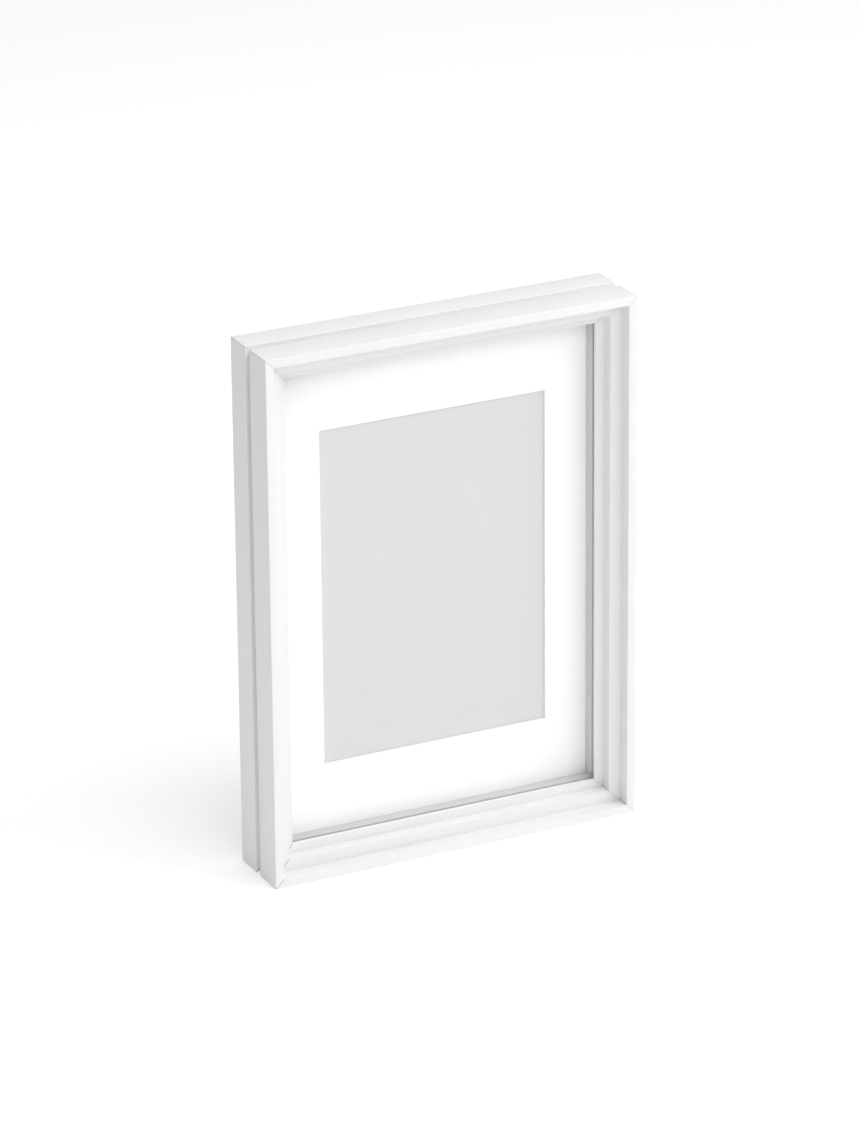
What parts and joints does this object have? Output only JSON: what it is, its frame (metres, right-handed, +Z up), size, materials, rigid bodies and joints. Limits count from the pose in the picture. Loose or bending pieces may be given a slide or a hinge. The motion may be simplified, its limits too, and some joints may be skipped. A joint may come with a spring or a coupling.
{
  "type": "shadow box",
  "caption": "Deep white box frame with stepped mitred moulding, clear pane, mat and card, a panel locked by swivelling tabs, and hanging rings.",
  "frame": {"origin": "on the surface it stands on, under the middle of the box's width and depth, so the front face is at y = -22.5 mm and the back edge at y = +22.5 mm", "axes": "+Z up, along the box's height, and the front faces -Y, so +X is to the viewer's right"},
  "size_m": [0.228, 0.045, 0.314],
  "materials": {
    "white_moulding": "white satin lacquer on wood fibre moulding",
    "white_strip": "white matt paper-faced strip",
    "plain_wood_strip": "bare planed wood",
    "clear_glass": "clear, low reflection",
    "white_mat": "smooth matt board",
    "grey_card": "plain matt light grey",
    "hardboard": "pressed brown fibreboard",
    "plated_steel": "zinc plated",
    "rivet_aluminium": "bright"
  },
  "bodies": {
    "box": {"rail_bottom": "white_moulding", "rail_top": "white_moulding", "rail_left": "white_moulding", "rail_right": "white_moulding", "glazing": "clear_glass", "spacer_bottom": "white_strip", "spacer_top": "white_strip", "spacer_left": "white_strip", "spacer_right": "white_strip", "mat_board": "white_mat", "insert_card": "grey_card", "rear_spacer_bottom": "plain_wood_strip", "rear_spacer_top": "plain_wood_strip", "rear_spacer_left": "plain_wood_strip", "rear_spacer_right": "plain_wood_strip", "back_panel": "hardboard", "tab_rivets": "rivet_aluminium", "hanger_plate_top": "plated_steel", "hanger_plate_side": "plated_steel", "hanger_rivets": "rivet_aluminium", "corner_v_nails": "plated_steel"},
    "turn_tab_1": {"turn_tab_1": "plated_steel"},
    "turn_tab_2": {"turn_tab_2": "plated_steel"},
    "turn_tab_3": {"turn_tab_3": "plated_steel"},
    "turn_tab_4": {"turn_tab_4": "plated_steel"},
    "turn_tab_5": {"turn_tab_5": "plated_steel"},
    "turn_tab_6": {"turn_tab_6": "plated_steel"},
    "hanger_ring_top": {"hanger_ring_top": "plated_steel"},
    "hanger_ring_side": {"hanger_ring_side": "plated_steel"}
  },
  "joints": [
    {"name": "turn_tab_1_swivel", "type": "hinge", "parent": "box", "child": "turn_tab_1", "pos_m": [0, 0.019, 0.2928], "axis": [0, 1, 0], "continuous": true},
    {"name": "turn_tab_2_swivel", "type": "hinge", "parent": "box", "child": "turn_tab_2", "pos_m": [0.0928, 0.019, 0.239], "axis": [0, 1, 0], "continuous": true},
    {"name": "turn_tab_3_swivel", "type": "hinge", "parent": "box", "child": "turn_tab_3", "pos_m": [0.0928, 0.019, 0.075], "axis": [0, 1, 0], "continuous": true},
    {"name": "turn_tab_4_swivel", "type": "hinge", "parent": "box", "child": "turn_tab_4", "pos_m": [0, 0.019, 0.0212], "axis": [0, 1, 0], "continuous": true},
    {"name": "turn_tab_5_swivel", "type": "hinge", "parent": "box", "child": "turn_tab_5", "pos_m": [-0.0928, 0.019, 0.075], "axis": [0, 1, 0], "continuous": true},
    {"name": "turn_tab_6_swivel", "type": "hinge", "parent": "box", "child": "turn_tab_6", "pos_m": [-0.0928, 0.019, 0.239], "axis": [0, 1, 0], "continuous": true},
    {"name": "hanger_ring_top_swing", "type": "hinge", "parent": "box", "child": "hanger_ring_top", "pos_m": [0, 0.0203, 0.264], "axis": [-1, 0, 0], "range_deg": [0, 175]},
    {"name": "hanger_ring_side_swing", "type": "hinge", "parent": "box", "child": "hanger_ring_side", "pos_m": [0.064, 0.0203, 0.157], "axis": [0, 0, 1], "range_deg": [0, 175]}
  ]
}
